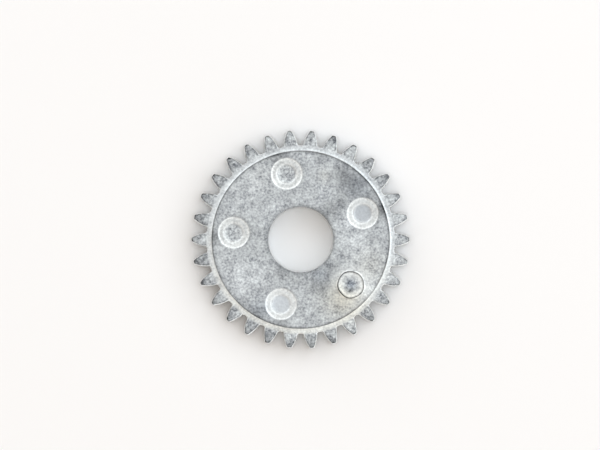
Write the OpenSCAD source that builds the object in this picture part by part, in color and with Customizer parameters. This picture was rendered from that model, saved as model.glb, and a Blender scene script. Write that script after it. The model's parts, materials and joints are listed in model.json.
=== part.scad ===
// Spur gear of an oscillating drive, die-cast in zinc as one piece: thirty involute
// teeth round a raised thrust face, a plain central bore, and five round marks that
// the die's ejector pins left in the upper face. All lengths are in millimetres.
// The bore runs along +Z, the lower face lies in z = 0 and a tooth points along +X.

/* [Teeth] */
// Number of teeth
tooth_count = 30; // [29:1:40]
// Module: the pitch diameter divided by the number of teeth
tooth_module = 0.65; // [0.65:0.05:0.9]
// Pressure angle of the flanks, in degrees
pressure_angle = 20; // [20:0.5:22]
// Profile shift, in modules: how far the teeth are moved out from the pitch circle
profile_shift = 0.2; // [0:0.05:0.3]
// Height of a tooth above its shifted pitch line, in modules
addendum = 1; // [0.9:0.05:1.05]
// Depth of a gap below its shifted pitch line, in modules
dedendum = 1.2; // [1.1:0.05:1.3]
// Width of the toothed ring along the bore
face_width = 2.6; // [2:0.1:10]
// Rounding of each tooth's corners, seen along the bore
tip_round = 0.12; // [0.05:0.01:0.14]
// Fillet at the foot of each tooth
root_fillet = 0.22; // [0.1:0.01:0.25]
// Chamfer on the ends of the teeth at their tips
end_chamfer = 0.1; // [0.05:0.01:0.2]

/* [Hub] */
// Ledge from the edge of the raised face out to the foot of the tooth gaps
rim_ledge = 0.5; // [0.45:0.01:0.55]
// Height of the raised face above the ends of the teeth
face_rise = 0.4; // [0.1:0.05:0.4]
// Diameter of the bore
bore_d = 6.3; // [3:0.1:9]
// Chamfer at both mouths of the bore
bore_chamfer = 0.1; // [0.05:0.01:0.3]

/* [Ejector marks] */
// Radius of the circle that the five marks lie on
mark_circle_r = 6.5; // [6.4:0.05:6.5]
// Direction of the odd mark from +X, in degrees: it is centred on a tooth gap
odd_mark_angle = -42; // [-180:6:180]
// Angle from the odd mark to the nearer pair
near_pair_angle = 65; // [40:1:80]
// Angle from the odd mark to the farther pair
far_pair_angle = 144; // [125:1:160]
// Diameter of a mark's outer edge
mark_d = 3.02; // [2.6:0.02:3.02]
// Diameter of the flat pin seat in the middle of a mark
seat_d = 1.86; // [1:0.02:2]
// Depth of the pin seat below the raised face
seat_depth = 0.22; // [0.18:0.01:0.4]
// Depth of the ring round the pin seat, at its outer edge
ring_depth = 0.06; // [0.02:0.01:0.08]
// Diameter of the odd mark, which has no seat of its own
odd_mark_d = 2.62; // [2:0.02:3]
// Diameter of the flat in the middle of the odd mark
odd_flat_d = 1.1; // [0.6:0.02:1.6]
// Depth of the odd mark below the raised face
odd_mark_depth = 0.16; // [0.1:0.01:0.4]

/* [Hidden] */

pitch_r = tooth_module * tooth_count / 2;
base_r = pitch_r * cos(pressure_angle);
tip_r = pitch_r + tooth_module * (profile_shift + addendum);
root_r = pitch_r + tooth_module * (profile_shift - dedendum);
bore_r = bore_d / 2;
raised_r = root_r - rim_ledge;
overall_h = face_width + 2 * face_rise;

degrees_per_radian = 180 / PI;
tooth_pitch_angle = 360 / tooth_count;
// Steps along a flank, and along each small curve at its two ends
flank_steps = 6;
curve_steps = 3;
// How far the ring falls towards the pin seat, as a share of the step between the two
ring_fall = 0.1;
// Sideways run of the short walls of a mark, which the die needs to let go
wall_draft = 0.04;
// How far a cut runs past the face that it cuts
past = 0.5;
smooth = 96;

// Half of a tooth's thickness at the pitch circle, as an angle
pitch_half_angle = (90 + degrees_per_radian * 2 * profile_shift * tan(pressure_angle)) / tooth_count;

// Involute function of an angle, in degrees
function involute(angle) = degrees_per_radian * tan(angle) - angle;

// Half of a tooth's thickness at radius r, as an angle; below the base circle the
// flank runs straight in to the centre
function half_angle(r) =
    pitch_half_angle + involute(pressure_angle) - involute(acos(base_r / max(r, base_r)));

function polar(r, angle) = [r * cos(angle), r * sin(angle)];

// Angle that an arc of the given length takes up at radius r
function arc_angle(length, r) = degrees_per_radian * length / r;

// Point at t from 0 to 1 on the curve that leaves a towards b and reaches c from b
function bend(a, b, c, t) = pow(1 - t, 2) * a + 2 * t * (1 - t) * b + pow(t, 2) * c;

// One side of the tooth that is centred on +X, from its gap up to its tip, for
// side = 1 or its mirror image for side = -1
function flank(side) =
    let (
        foot_r = root_r + root_fillet,
        head_r = tip_r - tip_round,
        foot = polar(foot_r, side * half_angle(foot_r)),
        head = polar(head_r, side * half_angle(head_r)),
        gap_end = polar(root_r, side * (half_angle(root_r) + arc_angle(root_fillet, root_r))),
        gap_corner = polar(root_r, side * half_angle(root_r)),
        tip_corner = polar(tip_r, side * half_angle(tip_r)),
        tip_end = polar(tip_r, side * (half_angle(tip_r) - arc_angle(tip_round, tip_r)))
    )
    [
        for (i = [0 : curve_steps - 1]) bend(gap_end, gap_corner, foot, i / curve_steps),
        for (i = [0 : flank_steps])
            let (r = foot_r + (head_r - foot_r) * i / flank_steps)
            polar(r, side * half_angle(r)),
        for (i = [1 : curve_steps]) bend(head, tip_corner, tip_end, i / curve_steps)
    ];

function reversed(list) = [for (i = [len(list) - 1 : -1 : 0]) list[i]];

// The tooth's whole outline; the middle point keeps its tip on the tip circle
tooth_outline = concat(flank(-1), [[tip_r, 0]], reversed(flank(1)));

function turned(point, angle) = [
    point.x * cos(angle) - point.y * sin(angle),
    point.x * sin(angle) + point.y * cos(angle)
];

// Outline of the toothed ring: the same tooth at every pitch, and a point in the
// middle of each gap that keeps its foot on the root circle
module toothed_outline() {
    polygon([
        for (k = [0 : tooth_count - 1])
            let (angle = k * tooth_pitch_angle)
            each concat(
                [for (p = tooth_outline) turned(p, angle)],
                [polar(root_r, angle + tooth_pitch_angle / 2)]
            )
    ]);
}

// Turned blank that the teeth stand in, with its two outer edges chamfered
module blank() {
    rotate_extrude($fn = smooth)
        polygon([
            [0, 0],
            [tip_r - end_chamfer, 0],
            [tip_r, end_chamfer],
            [tip_r, face_width - end_chamfer],
            [tip_r - end_chamfer, face_width],
            [0, face_width]
        ]);
}

module toothed_ring() {
    intersection() {
        linear_extrude(face_width) toothed_outline();
        blank();
    }
}

// Raised face standing on z = 0, with a hollow fillet down to the ends of the teeth
module raised_face() {
    rotate_extrude($fn = smooth)
        difference() {
            square([raised_r + face_rise, face_rise]);
            translate([raised_r + face_rise, face_rise]) circle(face_rise, $fn = smooth);
        }
}

// Bore with a chamfer at both mouths
module bore() {
    translate([0, 0, -past]) cylinder(h = overall_h + 2 * past, r = bore_r, $fn = smooth);
    for (end = [0, 1])
        translate([0, 0, end * overall_h])
            mirror([0, 0, end])
                translate([0, 0, -past])
                    cylinder(
                        h = past + bore_chamfer,
                        r1 = bore_r + past + bore_chamfer,
                        r2 = bore_r,
                        $fn = smooth
                    );
}

// Stepped hollow that an ejector pin leaves: a short wall, a nearly level ring, a
// second wall and a flat seat. It is cut down from z = 0.
module ejector_mark() {
    seat_top = -ring_depth - ring_fall * (seat_depth - ring_depth);
    rotate_extrude($fn = smooth)
        polygon([
            [0, past],
            [0, -seat_depth],
            [seat_d / 2 - wall_draft, -seat_depth],
            [seat_d / 2, seat_top],
            [mark_d / 2 - wall_draft, -ring_depth],
            [mark_d / 2, 0],
            [mark_d / 2, past]
        ]);
}

// Plain dish with a short wall and a flat middle, cut down from z = 0
module odd_mark() {
    rotate_extrude($fn = smooth)
        polygon([
            [0, past],
            [0, -odd_mark_depth],
            [odd_flat_d / 2, -odd_mark_depth],
            [odd_mark_d / 2 - wall_draft, -ring_depth],
            [odd_mark_d / 2, 0],
            [odd_mark_d / 2, past]
        ]);
}

// Moves its children onto the marks' circle in the upper face
module on_mark_circle(angle) {
    rotate(odd_mark_angle + angle) translate([mark_circle_r, 0, overall_h]) children();
}

module oscillating_gear() {
    color("silver")
        difference() {
            union() {
                translate([0, 0, face_rise]) toothed_ring();
                translate([0, 0, face_rise + face_width]) raised_face();
                translate([0, 0, face_rise]) mirror([0, 0, 1]) raised_face();
            }
            bore();
            on_mark_circle(0) odd_mark();
            for (side = [-1, 1], pair = [near_pair_angle, far_pair_angle])
                on_mark_circle(side * pair) ejector_mark();
        }
}

oscillating_gear();
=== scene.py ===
"""Gives the oscillating gear its looks: the zinc casting as one detailed mesh with its
as-cast skin, and a plain pale floor, soft light and a camera straight above it.
Lengths are in millimetres until the mesh is made, and angles in radians. A flat point is
a complex number: its place seen from above."""

import cmath
import json
import math
import random

import bpy
import numpy as np
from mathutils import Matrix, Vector, noise
from mathutils.geometry import delaunay_2d_cdt


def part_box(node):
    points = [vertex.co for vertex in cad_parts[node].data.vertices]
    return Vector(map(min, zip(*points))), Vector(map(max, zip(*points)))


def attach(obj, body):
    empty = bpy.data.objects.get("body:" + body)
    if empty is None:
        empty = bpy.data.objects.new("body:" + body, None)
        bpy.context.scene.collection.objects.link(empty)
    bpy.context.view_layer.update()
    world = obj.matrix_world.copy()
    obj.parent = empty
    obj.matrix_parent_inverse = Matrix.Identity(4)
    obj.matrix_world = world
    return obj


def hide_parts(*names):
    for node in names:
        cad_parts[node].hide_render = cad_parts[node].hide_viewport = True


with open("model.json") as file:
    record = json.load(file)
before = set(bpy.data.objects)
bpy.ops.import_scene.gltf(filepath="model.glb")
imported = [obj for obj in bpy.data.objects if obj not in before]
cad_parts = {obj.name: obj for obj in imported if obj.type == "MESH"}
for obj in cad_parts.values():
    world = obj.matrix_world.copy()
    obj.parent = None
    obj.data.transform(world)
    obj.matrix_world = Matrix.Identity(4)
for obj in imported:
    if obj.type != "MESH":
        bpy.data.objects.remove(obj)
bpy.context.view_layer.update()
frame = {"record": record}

MM = 0.001
NODE = "oscillating_gear"

# Sizes that the frame gives
low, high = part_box(NODE)
mounts = {mount["name"]: mount for mount in frame["record"]["mounts"]}
TIP_R = high.x / MM
HEIGHT = high.z / MM
BORE_R = mounts["bore"]["dims"]["r_mm"]

# Teeth: the same involute as the solid, with the profile shift that its tips show
TEETH = 30
MODULE = 0.65
ADDENDUM = 1.0
DEDENDUM = 1.2
PRESSURE = math.radians(20)
PITCH_R = MODULE * TEETH / 2
BASE_R = PITCH_R * math.cos(PRESSURE)
SHIFT = (TIP_R - PITCH_R) / MODULE - ADDENDUM
ROOT_R = PITCH_R + MODULE * (SHIFT - DEDENDUM)
ROOT_FILLET = 0.22
TIP_ROUND = 0.12
# The cast tips reach this much further out, each by a little more or less
TIP_EXTRA = 0.04
TIP_SPREAD = 0.03
OUTLINE_SEED = 30
# The sides of the teeth and gaps widen downwards by this much per mm, as the die needs,
# and have their true size at this height
DRAFT = 0.035
TRUE_HEIGHT = 2.2

# Raised face: a short step at its edge, then a hollow shoulder down to the tooth faces
RISE = 0.4
RAISED_R = ROOT_R - 0.5
STEP_DROP = 0.35
STEP_RUN = 0.03
SHOULDER_SLOPES = (30, 24, 18, 12, 6, 0)
TOOTH_TOP = HEIGHT - RISE
TOOTH_BOTTOM = RISE

# Rounded edges. On the teeth the radius is smaller in the gaps, up to the reach above their
# floor. It is uneven all along, in waves, and larger towards the side that has the burr, up
# to this many times the plain radius
EDGE_R = 0.06
GAP_SHARE = 0.6
GAP_REACH = 0.4
EDGE_UNEVEN = 0.45
EDGE_WAVES_PER_MM = 2.5
EDGE_WIDER = 0.5
EDGE_MOST = 1.6
BORE_EDGE_R = 0.06

# Waviness of the tooth outline and of the upper side: how high, and waves per mm
WOBBLE = 0.02
WOBBLE_PER_MM = 4.0
SWELL = 0.006
SWELL_PER_MM = 1.5

# Ejector marks: direction of each from +X in degrees, on one circle
MARK_CIRCLE_R = 6.5
ODD_MARK = -42
SEATED_MARKS = {
    "top": ODD_MARK + 144,
    "left": ODD_MARK - 144,
    "right": ODD_MARK + 65,
    "bottom": ODD_MARK - 65,
}

# Spacing of the mesh on the upper and the lower side, and its share of that on the teeth
FILL_STEP = 0.14
LOWER_FILL_STEP = 0.24
FINER = 0.6
# Each point of the fill is shaken by one share of the spacing and keeps clear of the rings
# by the other
SHAKE = 0.18
CLEAR = 0.55
FILL_SEED = 7
# No tooth gap reaches inside this radius
WEB_R = ROOT_R - 0.3
# Points on each circle of the raised edge, of a mark and of the bore
RAISED_POINTS = 440
MARK_POINTS = 72
BORE_POINTS = 180
# Steps along the fillet, the flank and the rounded tip of a tooth, and round an edge
FILLET_STEPS = (0, 0.25, 0.5, 0.75)
FLANK_POINTS = 10
TIP_STEPS = (0.33, 0.67, 1)
EDGE_STEPS = 3
EDGE_TURNS = [math.pi / 2 * k / EDGE_STEPS for k in range(EDGE_STEPS + 1)]
# Rings down the sides of the teeth and down the bore, and how far they stay from the ends
SIDE_RINGS = 8
SIDE_MARGIN = 0.25
BORE_RINGS = 6
BORE_MARGIN = 0.4
# The triangulation's output, which is triangles over the whole hull, and how near two
# points have to be to count as one
WHOLE_HULL = 0
SAME_POINT = 1e-7
# Points tested against the outline at a time
CHUNK = 2000


def involute(angle):
    return math.tan(angle) - angle


def half_angle(r):
    """Half of a tooth's thickness at radius r, as an angle."""
    at_pitch = (math.pi / 2 + 2 * SHIFT * math.tan(PRESSURE)) / TEETH
    return at_pitch + involute(PRESSURE) - involute(math.acos(BASE_R / max(r, BASE_R)))


def bend(a, b, c, t):
    """Point at t on the curve that leaves a towards b and reaches c from b."""
    return (1 - t) ** 2 * a + 2 * t * (1 - t) * b + t ** 2 * c


def tooth_side(tip_r):
    """Flat points of one side of the tooth on +X, from its gap up to its tip."""
    foot_r = ROOT_R + ROOT_FILLET
    head_r = tip_r - TIP_ROUND
    gap_end = cmath.rect(ROOT_R, half_angle(ROOT_R) + ROOT_FILLET / ROOT_R)
    gap_corner = cmath.rect(ROOT_R, half_angle(ROOT_R))
    foot = cmath.rect(foot_r, half_angle(foot_r))
    head = cmath.rect(head_r, half_angle(head_r))
    tip_corner = cmath.rect(tip_r, half_angle(tip_r))
    tip_end = cmath.rect(tip_r, half_angle(tip_r) - TIP_ROUND / tip_r)
    side = [bend(gap_end, gap_corner, foot, t) for t in FILLET_STEPS]
    side += [cmath.rect(r, half_angle(r)) for r in np.linspace(foot_r, head_r, FLANK_POINTS)]
    side += [bend(head, tip_corner, tip_end, t) for t in TIP_STEPS]
    return side


def gear_outline():
    """The outline of the teeth, counter-clockwise, and the direction out of it."""
    random.seed(OUTLINE_SEED)
    points = []
    for k in range(TEETH):
        side = tooth_side(TIP_R + TIP_EXTRA + random.uniform(-TIP_SPREAD, TIP_SPREAD))
        turn = cmath.rect(1, 2 * math.pi * k / TEETH)
        middle = [cmath.rect(abs(side[-1]), 0)]
        gap = [cmath.rect(ROOT_R, math.pi / TEETH)]
        points += [turn * p for p in [q.conjugate() for q in side] + middle + side[::-1] + gap]
    points = np.array(points)
    along = np.roll(points, -1) - np.roll(points, 1)
    return points, -1j * along / np.abs(along)


# How much smoother each octave of the noise is, how much finer, and their number
RIPPLE_OCTAVES = (1.0, 2.0, 3)


def ripple(points, per_mm, seed=0.0):
    """Smooth noise, about -1 to 1, at each point, with waves 1 / per_mm long."""
    return np.array([
        noise.fractal(Vector((x * per_mm + seed, y * per_mm, z * per_mm)), *RIPPLE_OCTAVES)
        for x, y, z in points
    ])


def circle(r, count, centre=0.0):
    """Flat points of a circle, counter-clockwise."""
    return centre + r * np.exp(2j * math.pi * np.arange(count) / count)


def shoulder_profile():
    """Radius and height above the ends of the teeth, from the raised edge outwards."""
    slopes = np.radians(SHOULDER_SLOPES)
    hollow_r = (RISE - STEP_DROP) / (1 - math.cos(slopes[0]))
    foot = RAISED_R + STEP_RUN + hollow_r * math.sin(slopes[0])
    step_r = [RAISED_R - STEP_RUN, RAISED_R - STEP_RUN / 3, RAISED_R + STEP_RUN / 3]
    step_z = [RISE, RISE - STEP_DROP / 8, RISE - STEP_DROP / 2]
    radii = np.concatenate([step_r, foot - hollow_r * np.sin(slopes)])
    return radii, np.concatenate([step_z, hollow_r * (1 - np.cos(slopes))])


RAISED_RADII, RAISED_HEIGHTS = shoulder_profile()
# The mesh follows the shoulder's circles as far as the tooth gaps leave them whole
WHOLE_TO_R = ROOT_R - 0.1
WHOLE_RADII = [r for r in RAISED_RADII if r < WHOLE_TO_R]

# A mark's profile from its centre out: radius, and height beside the raised face
SEAT_R = [0, 0.5, 0.82, 0.86, 0.92, 0.97, 1.43, 1.465, 1.505, 1.55]
SEAT_Z = [-0.2, -0.195, -0.19, -0.175, -0.095, -0.072, -0.06, -0.05, -0.01, 0]
ODD_R = [0, 0.5, 0.8, 1.0, 1.1, 1.2, 1.235, 1.265, 1.295, 1.325, 1.36, 1.42]
ODD_Z = [-0.16, -0.16, -0.14, -0.125, -0.12, -0.11, -0.1, -0.04, 0.01, 0.03, 0.015, 0]
# The odd mark's rings are a little oval and a little five-sided: how much, and turned how far
OVAL = 0.02
OVAL_TURN = 0.6
FIVE_SIDED = 0.018
FIVE_SIDED_TURN = 1.0


def mark_centre(degrees):
    return cmath.rect(MARK_CIRCLE_R, math.radians(degrees))


def out_of_round(turn):
    """How far the odd mark's rings lie inside a circle, by direction."""
    return OVAL * np.cos(2 * turn - OVAL_TURN) + FIVE_SIDED * np.sin(5 * turn + FIVE_SIDED_TURN)


def odd_distance(flat):
    """Distance from the odd mark's centre, the same all along each of its rings."""
    away = flat - mark_centre(ODD_MARK)
    return np.abs(away) + out_of_round(np.angle(away))


def odd_ring(r):
    ring = circle(r, MARK_POINTS)
    return mark_centre(ODD_MARK) + ring * (1 - out_of_round(np.angle(ring)) / r)


def upper_height(flat):
    """Height of the upper side at each flat point."""
    z = TOOTH_TOP + np.interp(np.abs(flat), RAISED_RADII, RAISED_HEIGHTS)
    for degrees in SEATED_MARKS.values():
        z += np.interp(np.abs(flat - mark_centre(degrees)), SEAT_R, SEAT_Z)
    return z + np.interp(odd_distance(flat), ODD_R, ODD_Z)


def lower_height(flat):
    return TOOTH_BOTTOM - np.interp(np.abs(flat), RAISED_RADII, RAISED_HEIGHTS)


def inside(points, outline):
    """Which flat points lie inside a closed outline."""
    a, b = outline, np.roll(outline, -1)
    found = np.zeros(len(points), bool)
    for start in range(0, len(points), CHUNK):
        p = points[start:start + CHUNK, None]
        crosses = (a.imag > p.imag) != (b.imag > p.imag)
        with np.errstate(divide="ignore", invalid="ignore"):
            at = a.real + (p.imag - a.imag) * (b.real - a.real) / (b.imag - a.imag)
        found[start:start + CHUNK] = (crosses & (p.real < at)).sum(1) % 2 == 1
    return found


def scatter(step, low_r, high_r, rings):
    """An even scatter of flat points between two radii, clear of every ring."""
    rows = np.arange(-TIP_R, TIP_R, step * math.sqrt(3) / 2)
    grid = np.array([
        complex(x + (step / 2 if i % 2 else 0), y)
        for i, y in enumerate(rows) for x in np.arange(-TIP_R, TIP_R, step)
    ])
    shake = np.array([complex(random.uniform(-1, 1), random.uniform(-1, 1)) for _ in grid])
    grid = grid + SHAKE * step * shake
    clear = CLEAR * step
    keep = (np.abs(grid) > low_r + clear) & (np.abs(grid) < high_r)
    for centre, r in rings:
        keep &= np.abs(np.abs(grid - centre) - r) > clear
    return grid[keep]


def fill_points(step, outline, rings):
    """An even scatter inside the outline, finer on the teeth."""
    random.seed(FILL_SEED)
    web = scatter(step, BORE_R + BORE_EDGE_R, WEB_R, rings)
    teeth = scatter(FINER * step, WEB_R, TIP_R, rings)
    near = np.array([np.abs(outline - p).min() for p in teeth])
    teeth = teeth[inside(teeth, outline) & (near > CLEAR * FINER * step)]
    return np.concatenate([web, teeth])


class Skin:
    """Collects the casting's points and faces, and each point's burnish and painted sheen."""

    def __init__(self):
        self.points = []
        self.polish_and_sheen = []
        self.faces = []

    def add(self, flat, z, polish_and_sheen):
        """Adds points and returns their numbers."""
        first = len(self.points)
        flat, z, polish_and_sheen = np.broadcast_arrays(flat, z, polish_and_sheen)
        self.points += zip(flat.real.tolist(), flat.imag.tolist(), z.tolist())
        self.polish_and_sheen += polish_and_sheen.tolist()
        return np.arange(first, len(self.points))

    def band(self, upper, lower, outward):
        """Four-sided faces between two closed rings of equally many points."""
        for i in range(len(upper)):
            j = (i + 1) % len(upper)
            face = (upper[i], lower[i], lower[j], upper[j])
            self.faces.append(face if outward else face[::-1])

    def wall(self, top, levels, bottom, outward=True):
        """Bands from one ring of points down to another through the levels, each of which
        gives flat points, a height and its burnish and painted sheen."""
        ring = top
        for flat, z, polish_and_sheen in levels:
            below = self.add(flat, z, polish_and_sheen)
            self.band(ring, below, outward)
            ring = below
        self.band(ring, bottom, outward)

    def sheet(self, rings, fill, height, polish_and_sheen, facing_up):
        """Triangles over everything between the first ring, which is the outline, and
        the last, which is the bore. Returns the points of those two rings."""
        flat = np.concatenate(rings + [fill])
        starts = np.cumsum([0] + [len(ring) for ring in rings])
        edges = [
            (int(start + i), int(start + (i + 1) % len(ring)))
            for start, ring in zip(starts, rings) for i in range(len(ring))
        ]
        coords = [Vector((p.real, p.imag)) for p in flat]
        made, _, faces, origins, _, _ = delaunay_2d_cdt(coords, edges, [], WHOLE_HULL, SAME_POINT)
        index = self.add(flat, height, polish_and_sheen)
        centres = np.array([sum(complex(*made[v]) for v in face) / 3 for face in faces])
        keep = np.abs(centres) > np.abs(rings[-1][0])
        outer = np.abs(centres) > WEB_R
        keep[outer] &= inside(centres[outer], rings[0])
        for face in np.array(faces, object)[keep]:
            corners = [int(index[origins[v][0]]) for v in face]
            self.faces.append(tuple(corners if facing_up else corners[::-1]))
        return index[:len(rings[0])], index[starts[-2]:starts[-1]]


# Burnish and painted sheen, from 0 for the dull skin to 1. The pins' seats are really
# burnished; the brightness of the slopes, edges and sides is painted sheen that stands in
# for reflected light. A profile is a list of distances in mm and the value at each of them
# On the sides of the teeth this is painted sheen as well as burnish
SIDE_SHEEN_AND_POLISH = 0.84
BORE_POLISH = 0.86
MOUTH_POLISH = 0.1
# The shoulder's painted sheen, with some burnish, is brightest beside the raised edge, and
# weakest towards this side
SHOULDER_SHEEN_AND_POLISH = (
    [8.58, 8.59, 8.61, 8.63, 8.75, 8.85, 8.95, 9.05, 9.13, 9.2],
    [0, 0.25, 0.4, 0.62, 0.5, 0.36, 0.28, 0.25, 0.08, 0],
)
DULLEST_SIDE = math.radians(85)
DULLER_BY = 0.2
# The corners of the tooth faces beside the gaps get a painted sheen this far from a tooth's
# middle
CORNER_FROM = 0.5
CORNER_FULL = 0.6
CORNER_SHEEN = 0.45
CORNER_REACH = ([8.9, 9.1, 9.45, 9.75], [0, 1, 1, 0])
# The rounded edges of the tooth faces get a painted glint on their light burr, most of all
# where they face this side
EDGE_SHEEN = 0.5
BURR_AND_GLINT_SIDE = math.radians(-60)
BURR_GLINT_MORE = 0.8
# The seats that the pins kept smooth and how burnished each is, and the flat ring round each
# of the four seats
SMOOTH_SEATS = {"right": 0.04, "bottom": 0.2}
RING_POLISH = {"right": 0.38, "bottom": 0.42, "top": 0.29, "left": 0.36}
# Across a seated mark: the seat, the step up to its ring, the ring with a duller middle, and
# the brim
SEATED_AT = [0.8, 0.88, 0.95, 1.05, 1.2, 1.33, 1.42, 1.49, 1.56]
SEAT_STEP_POLISH = (0.5, 0.55)
RING_MIDDLE = 0.85
BRIM_POLISH = 0.66
# The odd mark: its dish, the uneven painted glint round it where its burr catches the light,
# and the weak even one beyond
ODD_DISH = ([0.55, 0.85, 1.1, 1.17, 1.21], [0, 0.32, 0.55, 0.55, 0])
ODD_GLINT = ([1.29, 1.33, 1.38, 1.45, 2.2], [0, 1, 1, 0, 0])
ODD_BEYOND = ([1.29, 1.33, 1.6, 2.4], [0, 0.22, 0.22, 0])
GLINT_LEAST = 0.3
GLINT_MORE = 0.45
GLINT_TURN = 0.4


def across_tooth(flat):
    """Distance of each flat point from the middle line of the nearest tooth."""
    pitches = np.angle(flat) * TEETH / (2 * math.pi)
    return np.abs(pitches - np.round(pitches)) * np.abs(flat) * 2 * math.pi / TEETH


def upper_sheen_and_polish(flat):
    """How much burnish and painted sheen the upper side has: painted sheen on its slopes,
    burnish on the pins' seats, none on its flats.
    """
    lean = 1 - DULLER_BY * np.cos(np.angle(flat) - DULLEST_SIDE)
    polish_and_sheen = np.interp(np.abs(flat), *SHOULDER_SHEEN_AND_POLISH) * lean
    corner = np.interp(across_tooth(flat), [CORNER_FROM, CORNER_FULL], [0, CORNER_SHEEN])
    corner *= np.interp(np.abs(flat), *CORNER_REACH)
    polish_and_sheen = np.maximum(polish_and_sheen, corner * lean)
    for name, degrees in SEATED_MARKS.items():
        ring = RING_POLISH[name]
        steps = [
            SMOOTH_SEATS.get(name, 0), *SEAT_STEP_POLISH,
            ring, RING_MIDDLE * ring, ring, BRIM_POLISH, BRIM_POLISH, 0,
        ]
        seated = np.interp(np.abs(flat - mark_centre(degrees)), SEATED_AT, steps)
        polish_and_sheen = np.maximum(polish_and_sheen, seated)
    d = odd_distance(flat)
    turn = np.angle(flat - mark_centre(ODD_MARK))
    glint = GLINT_LEAST + GLINT_MORE * np.cos(3 * turn + GLINT_TURN) ** 2
    glint_ring = np.interp(d, *ODD_GLINT) * glint
    return np.maximum.reduce([polish_and_sheen, np.interp(d, *ODD_DISH), glint_ring, np.interp(d, *ODD_BEYOND)])


def upper_side(skin, outline, raised_rings, bore_mouth):
    """The upper side with its marks. Returns the points of its outline and of the bore."""
    mark_rings = []
    known = [(0, r) for r in WHOLE_RADII]
    for degrees in SEATED_MARKS.values():
        centre = mark_centre(degrees)
        mark_rings += [circle(r, MARK_POINTS, centre) for r in SEAT_R[1:]]
        known += [(centre, r) for r in SEAT_R[1:]]
    mark_rings += [odd_ring(r) for r in ODD_R[1:]]
    known += [(mark_centre(ODD_MARK), r) for r in ODD_R[1:]]
    rings = [outline, *raised_rings, *mark_rings, bore_mouth]
    fill = fill_points(FILL_STEP, outline, known)
    flat = np.concatenate(rings + [fill])
    heights = upper_height(flat)
    level = np.stack([flat.real, flat.imag, heights], 1)
    heights = heights + SWELL * ripple(level, SWELL_PER_MM)
    return skin.sheet(rings, fill, heights, upper_sheen_and_polish(flat), True)


def lower_side(skin, outline, raised_rings, bore_mouth):
    """The plain lower side. Returns the points of its outline and of the bore."""
    rings = [outline, *raised_rings, bore_mouth]
    fill = fill_points(LOWER_FILL_STEP, outline, [(0, r) for r in WHOLE_RADII])
    flat = np.concatenate(rings + [fill])
    polish_and_sheen = np.interp(np.abs(flat), *SHOULDER_SHEEN_AND_POLISH)
    return skin.sheet(rings, fill, lower_height(flat), polish_and_sheen, False)


def bore_levels():
    """The bore's levels, from the rounding of its upper mouth to that of its lower one."""
    mouth = [
        (BORE_R + BORE_EDGE_R * (1 - math.sin(t)), BORE_EDGE_R * (1 - math.cos(t)))
        for t in EDGE_TURNS[1:]
    ]
    wall = np.linspace(HEIGHT - BORE_MARGIN, BORE_MARGIN, BORE_RINGS)
    levels = [(r, HEIGHT - depth, MOUTH_POLISH) for r, depth in mouth]
    levels += [(BORE_R, z, BORE_POLISH) for z in wall]
    levels += [(r, depth, MOUTH_POLISH) for r, depth in mouth[::-1]]
    return [(circle(r, BORE_POINTS), z, polish_and_sheen) for r, z, polish_and_sheen in levels]


def build_casting():
    """The whole gear as one closed skin, the outlines of its two sides in it, and how far
    each of their points faces the side that has the burr and the painted glint."""
    skin = Skin()
    outline, outward = gear_outline()
    facing_burr_and_glint = np.cos(np.angle(outward) - BURR_AND_GLINT_SIDE)
    flat_outline = np.stack([outline.real, outline.imag, np.zeros(len(outline))], 1)
    share = np.interp(np.abs(outline), [ROOT_R, ROOT_R + GAP_REACH], [GAP_SHARE, 1])
    uneven = EDGE_UNEVEN * ripple(flat_outline, EDGE_WAVES_PER_MM)
    share *= (1 + EDGE_WIDER * facing_burr_and_glint) * (1 + uneven)
    edge = EDGE_R * np.minimum(share, EDGE_MOST)
    rough = WOBBLE * ripple(flat_outline, WOBBLE_PER_MM, seed=9.0)

    def side_ring(inset, z):
        drafted = DRAFT * (TRUE_HEIGHT - z)
        return outline + outward * (drafted + rough - inset)

    # The rounded edges: how far in from the side and how far from the face each ring is
    rounding = [(edge * (1 - math.sin(t)), edge * (1 - math.cos(t))) for t in EDGE_TURNS]
    raised_rings = [circle(r, RAISED_POINTS) for r in WHOLE_RADII]
    bore_mouth = circle(BORE_R + BORE_EDGE_R, BORE_POINTS)
    top = side_ring(rounding[0][0], TOOTH_TOP)
    bottom = side_ring(rounding[0][0], TOOTH_BOTTOM)
    upper, upper_bore = upper_side(skin, top, raised_rings, bore_mouth)
    lower, lower_bore = lower_side(skin, bottom, raised_rings, bore_mouth)

    # Painted glint on the rounded edges, strongest towards the burr side
    edge_glint = EDGE_SHEEN * (1 + BURR_GLINT_MORE * facing_burr_and_glint)
    sides = np.linspace(TOOTH_TOP - SIDE_MARGIN, TOOTH_BOTTOM + SIDE_MARGIN, SIDE_RINGS)
    levels = [(side_ring(inset, TOOTH_TOP), TOOTH_TOP - d, edge_glint) for inset, d in rounding[1:]]
    levels += [(side_ring(0, z), z, SIDE_SHEEN_AND_POLISH) for z in sides]
    levels += [
        (side_ring(inset, TOOTH_BOTTOM), TOOTH_BOTTOM + d, EDGE_SHEEN)
        for inset, d in rounding[:0:-1]
    ]
    skin.wall(upper, levels, lower)
    skin.wall(upper_bore, bore_levels(), lower_bore, outward=False)
    return skin, (upper, lower), facing_burr_and_glint


def linear(hex_colour):
    """A linear colour from an sRGB hex value."""
    parts = [int(hex_colour[i:i + 2], 16) / 255 for i in (1, 3, 5)]
    return [c / 12.92 if c <= 0.04045 else ((c + 0.055) / 1.055) ** 2.4 for c in parts] + [1]


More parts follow.
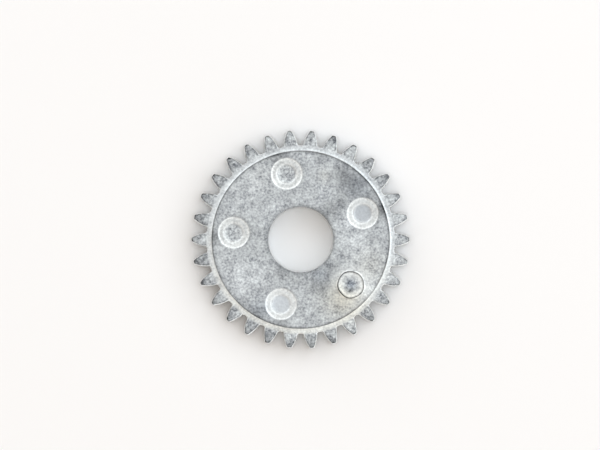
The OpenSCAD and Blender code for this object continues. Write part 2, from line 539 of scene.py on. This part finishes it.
def add_node(tree, kind, inputs=None, **settings):
    """Adds a node; each input is a value, or another node's output to link."""
    made = tree.nodes.new(kind)
    for name, value in settings.items():
        setattr(made, name, value)
    for key, value in (inputs or {}).items():
        if isinstance(value, bpy.types.NodeSocket):
            tree.links.new(value, made.inputs[key])
        else:
            made.inputs[key].default_value = value
    return made


def new_material(name):
    material = bpy.data.materials.new(name)
    material.use_nodes = True
    tree = material.node_tree
    tree.nodes.clear()
    shader = add_node(tree, "ShaderNodeBsdfPrincipled")
    add_node(tree, "ShaderNodeOutputMaterial", {"Surface": shader.outputs[0]})
    return material, tree, shader


# The skin's colours by the grain's value, which lies mostly within 0.25 of the middle
MIDDLE = 0.48
SKIN_COLOURS = [
    (0.04, "#434446"), (0.24, "#76787B"), (MIDDLE, "#ABACAC"), (0.76, "#D1D3D1"), (1.0, "#F2F5F2"),
]
# The pale colour that burnish and painted sheen mix towards
BURNISH_AND_SHEEN_COLOUR = "#F1F2F0"
# Crystals of about 0.2 mm in clouds of about 1 mm. The height of the part times the first
# stays clear of whole numbers, where this noise is weak
GRAIN_PER_MM = 4.78
CLOUDS_PER_MM = 1.1
CLOUD_SHARE = 0.68
GRAIN_DEPTH = 0.02
# The marks that the die's pull leaves: fine across, long along the pull
DRAG_PER_MM = (5, 5, 0.4)
# A tone of -1 darkens all three channels by this much, and a tint of 1 changes them so
TONE_DEPTH = 0.5
TINT_SHIFT = (0.028, -0.004, -0.062)


def as_cast_zinc():
    """Die-cast zinc alloy: a chilled skin, mottled silver grey, burnished on the pins' seats,
    with painted sheen on its slopes and edges and painted shade along its edges."""
    material, tree, shader = new_material("as_cast_zinc")
    polish_and_sheen, tone, grit, tint = [
        add_node(tree, "ShaderNodeAttribute", attribute_name=name).outputs["Fac"]
        for name in ("polish_and_sheen", "tone", "grit", "tint")
    ]
    place = add_node(tree, "ShaderNodeTexCoord").outputs["Object"]
    in_mm = add_node(
        tree, "ShaderNodeVectorMath", {0: place, 1: (1 / MM, 1 / MM, 1 / MM)}, operation="MULTIPLY",
    ).outputs[0]
    grain = add_node(
        tree, "ShaderNodeTexNoise",
        {"Vector": in_mm, "Scale": GRAIN_PER_MM, "Detail": 2, "Roughness": 0.6},
    ).outputs["Fac"]
    cloud = add_node(
        tree, "ShaderNodeTexNoise",
        {"Vector": in_mm, "Scale": CLOUDS_PER_MM, "Detail": 3, "Roughness": 0.6},
    ).outputs["Fac"]
    # Grain and clouds together, about the middle, strong or weak as the grit says
    clouded = add_node(
        tree, "ShaderNodeMath", {0: cloud, 1: CLOUD_SHARE, 2: -CLOUD_SHARE / 2},
        operation="MULTIPLY_ADD",
    ).outputs[0]
    mottled = add_node(tree, "ShaderNodeMath", {0: grain, 1: clouded}, operation="ADD").outputs[0]
    about_0 = add_node(
        tree, "ShaderNodeMath", {0: mottled, 1: MIDDLE}, operation="SUBTRACT",
    ).outputs[0]
    value = add_node(
        tree, "ShaderNodeMath", {0: about_0, 1: grit, 2: MIDDLE}, operation="MULTIPLY_ADD",
    ).outputs[0]
    skin = add_node(tree, "ShaderNodeValToRGB", {"Fac": value})
    ramp = skin.color_ramp
    ramp.elements[0].position = SKIN_COLOURS[0][0]
    ramp.elements[1].position = SKIN_COLOURS[-1][0]
    for position, _ in SKIN_COLOURS[1:-1]:
        ramp.elements.new(position)
    for element, (_, colour) in zip(ramp.elements, SKIN_COLOURS):
        element.color = linear(colour)
    # Patches, mottling and painted shade darken or lighten all three channels alike
    shade = add_node(
        tree, "ShaderNodeMath", {0: tone, 1: TONE_DEPTH, 2: 1.0}, operation="MULTIPLY_ADD",
    ).outputs[0]
    toned = add_node(
        tree, "ShaderNodeVectorMath", {0: skin.outputs["Color"], "Scale": shade}, operation="SCALE",
    ).outputs[0]
    # The burnish and painted sheen come and go across the drag marks
    pull = add_node(
        tree, "ShaderNodeVectorMath", {0: in_mm, 1: DRAG_PER_MM}, operation="MULTIPLY",
    ).outputs[0]
    streaks = add_node(
        tree, "ShaderNodeTexNoise", {"Vector": pull, "Scale": 1.0, "Detail": 2, "Roughness": 0.6},
    ).outputs["Fac"]
    patchy = add_node(tree, "ShaderNodeMath", {0: streaks, 1: 2.0}, operation="MULTIPLY").outputs[0]
    burnish_and_sheen = add_node(
        tree, "ShaderNodeMath", {0: polish_and_sheen, 1: patchy}, operation="MULTIPLY",
    ).outputs[0]
    burnished_and_sheened = add_node(
        tree, "ShaderNodeMix", {"Factor": burnish_and_sheen, "A": toned, "B": linear(BURNISH_AND_SHEEN_COLOUR)},
        data_type="RGBA",
    ).outputs["Result"]
    # A tint takes blue away and leaves a little red
    change = add_node(
        tree, "ShaderNodeVectorMath", {0: TINT_SHIFT, "Scale": tint}, operation="SCALE",
    ).outputs[0]
    tint_factor = add_node(
        tree, "ShaderNodeVectorMath", {0: change, 1: (1, 1, 1)}, operation="ADD",
    ).outputs[0]
    colour = add_node(
        tree, "ShaderNodeVectorMath", {0: burnished_and_sheened, 1: tint_factor}, operation="MULTIPLY",
    ).outputs[0]
    tree.links.new(colour, shader.inputs["Base Color"])
    shader.inputs["Metallic"].default_value = 1
    shader.inputs["Roughness"].default_value = 0.45
    relief = add_node(
        tree, "ShaderNodeBump", {"Height": grain, "Strength": 0.4, "Distance": GRAIN_DEPTH * MM},
    )
    tree.links.new(relief.outputs["Normal"], shader.inputs["Normal"])
    return material


# Dark and light patches of the faces: direction in degrees, radius, size and strength
FACE_PATCHES = [
    (44, 7.5, 1.3, -1.0), (58, 7.4, 1.0, -0.7), (32, 8.2, 0.5, -0.4), (45, 5.5, 0.7, -0.5),
    (47, 3.9, 0.9, -0.75), (20, 8.3, 0.8, -1.1), (76, 8.3, 0.6, -0.45), (106, 8.3, 0.8, -0.75),
    (102, 4.2, 0.7, -0.2), (167, 4.6, 1.1, -0.35), (161, 6.6, 0.6, -0.4), (154, 7.1, 0.8, 0.25),
    (178, 8.2, 0.8, -0.8), (240, 3.8, 0.8, -0.45), (240, 8.1, 1.0, -0.65), (257, 8.2, 0.6, -0.4),
    (264, 3.8, 0.7, -0.4), (288, 4.4, 0.9, -0.5), (300, 5.2, 1.3, -0.4), (316, 4.2, 0.9, -0.5),
    (1, 7.2, 0.7, -0.25), (3, 5.0, 1.0, 0.3), (22, 4.8, 0.6, 0.4), (63, 4.9, 0.8, 0.4),
    (15, 4.8, 0.5, 0.2), (193, 4.8, 0.7, -0.3), (124, 3.9, 0.7, 0.25), (128, 6.8, 1.1, 0.3),
    (152, 3.9, 0.6, 0.3), (215, 6.8, 1.7, 0.5), (210, 5.1, 0.7, 0.2), (245, 6.1, 0.8, 0.25),
    (347, 6.1, 0.9, 0.35), (324, 7.9, 1.2, 0.55), (228, 8.2, 0.6, -0.25), (302, 3.8, 0.5, -0.2),
    (345, 3.8, 0.5, -0.2),
]
# Patches of the upper face tinted yellow or, below 0, blue
TINTS = [
    (306, 7.0, 1.9, 2.0), (340, 7.2, 1.6, 0.7), (120, 7.0, 1.5, 0.2), (70, 6.6, 0.7, 0.5),
    (-42, 6.5, 0.6, -2.6), (43, 7.6, 1.2, -0.6), (240, 7.7, 1.0, -0.6), (300, 4.0, 0.9, -0.7),
]

# Tones, as profiles by radius: painted shade inside the raised edge and round the bore
RAISED_EDGE_SHADE = ([8.3, 8.45, 8.51, 8.58, 8.6, 8.63], [0, -0.25, -1.2, -1.2, -0.3, 0])
BORE_EDGE_SHADE = ([3.2, 3.3, 3.6], [-0.8, -0.4, 0])
# The faces of the teeth are dark at their tips, darkest of all towards -Y, and lightest
# towards this side. Each is mottled and a little different from the rest
ON_TEETH = ([9.05, 9.15], [0, 1])
TOOTH_TONE = ([9.05, 9.13, 10.0, 10.5], [0, -0.08, -0.36, -0.9])
TIP_TONE_BY_Y = ([9.5, 10.2], [0, 0.22])
LIGHT_SIDE = math.radians(-30)
LIGHT_BY = 0.15
OWN_TONE = 0.12
OWN_TONE_SEED = 12
MOTTLE = 0.5
MOTTLE_PER_MM = 3.2
# They have a line of painted shade where the painted sheen of the corners begins, and
# another just inside their edge, weaker in the gaps and towards the burr, and uneven
CORNER_SHADE = 0.6
CORNER_LINE_WIDTH = 0.06
CORNER_LINE_REACH = ([9.07, 9.15, 9.55, 9.7], [0, 1, 1, 0])
RIM_SHADE = -1.05
RIM_REACH = ([9.2, 9.5], [0.3, 1])
RIM_WEAKER = 0.12
RIM_UNEVEN = 0.5
RIM_PER_MM = 3.0
# The marks, by distance from the centre of each: the shade outside a seated one, and in the
# odd one a blotch, a broken line of painted shade round it, and a short second line of
# painted shade in one direction
SEATED_SHADE = ([1.5, 1.58, 1.64, 1.8], [0, -0.4, -0.25, 0])
ODD_BLOTCH = ([0.3, 0.6, 0.95], [-0.6, -0.45, 0])
ODD_SHADE_LINE = ([1.17, 1.22, 1.295, 1.34], [0, 1, 1, 0])
SHORT_SHADE_LINE = ([0.98, 1.06, 1.14], [0, 1, 0])
SHORT_SHADE_LINE_TONE = 1.5
SHORT_LINE_AT = math.radians(58)
SHORT_LINE_SPAN = 0.35
# The odd mark's line of painted shade is stronger and weaker in waves: their number,
# direction and strength
SHADE_LINE_WAVES = [(1, 235, 0.45), (3, 95, 0.35), (7, 90 / 7, 0.15)]
LINE_LEAST = 0.3

# Tint of the seated marks by distance from their centre, and of the shoulder by radius,
# where it grows towards one side as a painted warm tint of the light from there
SEATED_TINT_AT = [0.7, 1.0, 1.45, 1.6]
# The smooth seats' blue is a painted cool reflection
SMOOTH_SEAT_COOL_SHEEN = -0.4
RING_TINT = 0.4
SHOULDER_TINT = ([8.6, 8.65, 9.0, 9.2], [0, 0.9, 0.9, 0])
WARM_LIGHT_SIDE = math.radians(255)

# Strength of the grain on the raised face and on the teeth, its share on a smooth seat, and
# what a rough seat and the odd mark add
FACE_GRIT = 0.88
TOOTH_GRIT = 1.28
SMOOTH_SEAT_GRIT = ([0.9, 1.1, 1.5, 1.6], [0.25, 0.5, 0.5, 1])
ROUGH_SEAT_GRIT = ([0.7, 0.95], [0.35, 0])
ODD_GRIT = ([0.6, 1.0], [0.6, 0])


def patches(flat, table):
    total = np.zeros(len(flat))
    for degrees, r, size, strength in table:
        d = np.abs(flat - cmath.rect(r, math.radians(degrees)))
        total += strength * np.exp(-(d / size) ** 2)
    return total


def flat_of(points):
    return points[:, 0] + 1j * points[:, 1]


def in_upper_half(points):
    return points[:, 2] > HEIGHT / 2


def mark_tone(flat):
    """How much darker or lighter the marks are: their shade and blotch, and the odd one's
    lines of painted shade.
    """
    tone = np.zeros(len(flat))
    for degrees in SEATED_MARKS.values():
        tone += np.interp(np.abs(flat - mark_centre(degrees)), *SEATED_SHADE)
    away = flat - mark_centre(ODD_MARK)
    turn = np.angle(away)
    d = odd_distance(flat)
    strength = 1 + sum(
        size * np.cos(waves * (turn - math.radians(degrees))) for waves, degrees, size in SHADE_LINE_WAVES
    )
    arc = np.exp(-((turn - SHORT_LINE_AT) / SHORT_LINE_SPAN) ** 2)
    tone += np.interp(np.abs(away), *ODD_BLOTCH)
    tone -= np.interp(d, *ODD_SHADE_LINE) * np.maximum(strength, LINE_LEAST)
    return tone - SHORT_SHADE_LINE_TONE * arc * np.interp(d, *SHORT_SHADE_LINE)


def tone_of(points):
    """How much darker or lighter each point is, below 0 darker and above 0 lighter: patches,
    mottling and painted shade along edges and lines.
    """
    flat = flat_of(points)
    r = np.abs(flat)
    turn = np.angle(flat)
    random.seed(OWN_TONE_SEED)
    own = np.array([random.uniform(-OWN_TONE, OWN_TONE) for _ in range(TEETH)])
    tooth = np.round(turn * TEETH / (2 * math.pi)).astype(int) % TEETH
    lean = LIGHT_BY * np.cos(turn - LIGHT_SIDE)
    mottle = MOTTLE * ripple(points, MOTTLE_PER_MM, seed=2.0)
    corner_shade = np.exp(-((across_tooth(flat) - CORNER_FROM) / CORNER_LINE_WIDTH) ** 2)
    tone = patches(flat, FACE_PATCHES)
    tone += np.interp(r, *ON_TEETH) * (lean + own[tooth] + mottle)
    tone += np.interp(r, *TOOTH_TONE)
    tone -= CORNER_SHADE * corner_shade * np.interp(r, *CORNER_LINE_REACH)
    tone += np.interp(r, *TIP_TONE_BY_Y) * np.sin(turn)
    tone += np.interp(r, *RAISED_EDGE_SHADE)
    tone += np.interp(r, *BORE_EDGE_SHADE)
    return tone + mark_tone(flat) * in_upper_half(points)


def rim_shade(points, facing_burr_and_glint):
    """How much painted shade darkens the edge of a side's tooth faces."""
    line = RIM_SHADE * np.interp(np.abs(flat_of(points)), *RIM_REACH) * (1 - RIM_WEAKER * facing_burr_and_glint)
    return line * (1 + RIM_UNEVEN * ripple(points, RIM_PER_MM, seed=4.0))


def tint_of(points):
    """How much each point is tinted: above 0 is yellower, below 0 bluer. The shoulder's
    warm side and the smooth seats' blue are painted light.
    """
    flat = flat_of(points)
    tint = patches(flat, TINTS)
    for name, degrees in SEATED_MARKS.items():
        seat = SMOOTH_SEAT_COOL_SHEEN if name in SMOOTH_SEATS else 0
        across = np.abs(flat - mark_centre(degrees))
        tint += np.interp(across, SEATED_TINT_AT, [seat, RING_TINT, RING_TINT, 0])
    warm_light_side = np.maximum(np.cos(np.angle(flat) - WARM_LIGHT_SIDE), 0)
    tint += warm_light_side * np.interp(np.abs(flat), *SHOULDER_TINT)
    return tint * in_upper_half(points)


def grit_of(points):
    """How strong the grain is at each point."""
    flat = flat_of(points)
    grit = FACE_GRIT + (TOOTH_GRIT - FACE_GRIT) * np.interp(np.abs(flat), *ON_TEETH)
    marked = grit + np.interp(odd_distance(flat), *ODD_GRIT)
    for name, degrees in SEATED_MARKS.items():
        d = np.abs(flat - mark_centre(degrees))
        if name in SMOOTH_SEATS:
            marked *= np.interp(d, *SMOOTH_SEAT_GRIT)
        else:
            marked += np.interp(d, *ROUGH_SEAT_GRIT)
    return np.where(in_upper_half(points), marked, grit)


# Faces that meet at a sharper angle than this have a sharp edge
SHARP = math.radians(50)


def make_casting(material):
    skin, rims, facing_burr_and_glint = build_casting()
    points = np.array(skin.points)
    tone = tone_of(points)
    # The edges of both sides' tooth faces get their painted shade
    for rim in rims:
        tone[rim] += rim_shade(points[rim], facing_burr_and_glint)
    mesh = bpy.data.meshes.new("gear_casting")
    mesh.from_pydata((points * MM).tolist(), [], [[int(v) for v in face] for face in skin.faces])
    layers = {"polish_and_sheen": skin.polish_and_sheen, "tone": tone, "grit": grit_of(points), "tint": tint_of(points)}
    for name, values in layers.items():
        layer = mesh.attributes.new(name, "FLOAT", "POINT")
        layer.data.foreach_set("value", np.array(values, np.float32))
    mesh.materials.append(material)
    mesh.shade_smooth()
    mesh.set_sharp_from_angle(angle=SHARP)
    casting = bpy.data.objects.new("gear_casting", mesh)
    bpy.context.scene.collection.objects.link(casting)
    return casting


casting = make_casting(as_cast_zinc())
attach(casting, "root")
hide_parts(NODE)

# Floor: matt white card, even and pale with a broad dull sheen. Its reach is in metres
FLOOR_REACH = 0.6
corners = [(x * FLOOR_REACH, y * FLOOR_REACH, 0) for x, y in ((-1, -1), (1, -1), (1, 1), (-1, 1))]
floor_mesh = bpy.data.meshes.new("floor")
floor_mesh.from_pydata(corners, [], [(0, 1, 2, 3)])
floor = bpy.data.objects.new("floor", floor_mesh)
bpy.context.scene.collection.objects.link(floor)
card, _, card_shader = new_material("matt_white_card")
card_shader.inputs["Base Color"].default_value = linear("#F2F3F5")
card_shader.inputs["Roughness"].default_value = 0.6
floor_mesh.materials.append(card)

# Camera: looks straight down, and stands where the gear lies in the frame as in the photo
FRAME_W, FRAME_H = 600, 450
GEAR_X, GEAR_Y = 300.7, 239.7
PIXELS_PER_MM = 10.36
CAMERA_ABOVE = 400
SENSOR = 36
camera_data = bpy.data.cameras.new("camera")
camera_data.sensor_width = SENSOR
camera_data.lens = SENSOR * CAMERA_ABOVE / (FRAME_W / PIXELS_PER_MM)
camera = bpy.data.objects.new("camera", camera_data)
camera.location = (
    (FRAME_W / 2 - GEAR_X) / PIXELS_PER_MM * MM,
    (GEAR_Y - FRAME_H / 2) / PIXELS_PER_MM * MM,
    (HEIGHT + CAMERA_ABOVE) * MM,
)
bpy.context.scene.collection.objects.link(camera)
bpy.context.scene.camera = camera

# Wide soft boxes, a little cool: the key from the right, a weaker one from the upper left, and
# a low one in front that shows the burr of the teeth. Each has its azimuth and elevation in
# degrees, and its watts. Their size and distance are in metres
LAMPS = {"key": (25, 55, 1.68), "fill": (130, 35, 1.2), "front": (-60, 20, 0.7)}
LAMP_SIZE = 0.6
LAMP_DISTANCE = 0.6
LAMP_COLOUR = (0.8, 0.91, 1.0)
for name, (azimuth, elevation, energy) in LAMPS.items():
    lamp_data = bpy.data.lights.new(name, "AREA")
    lamp_data.size = LAMP_SIZE
    lamp_data.energy = energy
    lamp_data.color = LAMP_COLOUR
    lamp = bpy.data.objects.new(name, lamp_data)
    across = cmath.rect(math.cos(math.radians(elevation)), math.radians(azimuth))
    up = math.sin(math.radians(elevation))
    lamp.location = LAMP_DISTANCE * Vector((across.real, across.imag, up))
    lamp.rotation_euler = lamp.location.to_track_quat("Z", "Y").to_euler()
    bpy.context.scene.collection.objects.link(lamp)

# Room: a warm light that grows towards the ceiling, and a pale backdrop to the eye and in
# reflections
ROOM_COLOUR = (1.0, 0.875, 0.755, 1)
WALL_LIGHT = 0.27
CEILING_LIGHT = 0.66
world = bpy.data.worlds.new("room")
bpy.context.scene.world = world
world.use_nodes = True
room = world.node_tree
background = room.nodes["Background"]
background.inputs["Color"].default_value = ROOM_COLOUR
outlook = add_node(room, "ShaderNodeTexCoord").outputs["Generated"]
slope = add_node(room, "ShaderNodeSeparateXYZ", {0: outlook}).outputs["Z"]
upwards = add_node(room, "ShaderNodeMath", {0: slope, 1: 0.0}, operation="MAXIMUM").outputs[0]
strength = add_node(
    room, "ShaderNodeMath", {0: upwards, 1: CEILING_LIGHT, 2: WALL_LIGHT}, operation="MULTIPLY_ADD",
)
room.links.new(strength.outputs[0], background.inputs["Strength"])
backdrop = add_node(room, "ShaderNodeBackground", {"Color": linear("#F7F7F8"), "Strength": 1.0})
ray = add_node(room, "ShaderNodeLightPath").outputs
mirrored = add_node(
    room, "ShaderNodeMath", {0: ray["Is Glossy Ray"], 1: ray["Is Transmission Ray"]},
    operation="MAXIMUM",
)
seen = add_node(
    room, "ShaderNodeMath", {0: ray["Is Camera Ray"], 1: mirrored.outputs[0]}, operation="MAXIMUM",
)
shown = add_node(
    room, "ShaderNodeMixShader",
    {0: seen.outputs[0], 1: background.outputs[0], 2: backdrop.outputs[0]},
)
room.links.new(shown.outputs[0], room.nodes["World Output"].inputs["Surface"])

bpy.context.scene.view_settings.view_transform = "Standard"
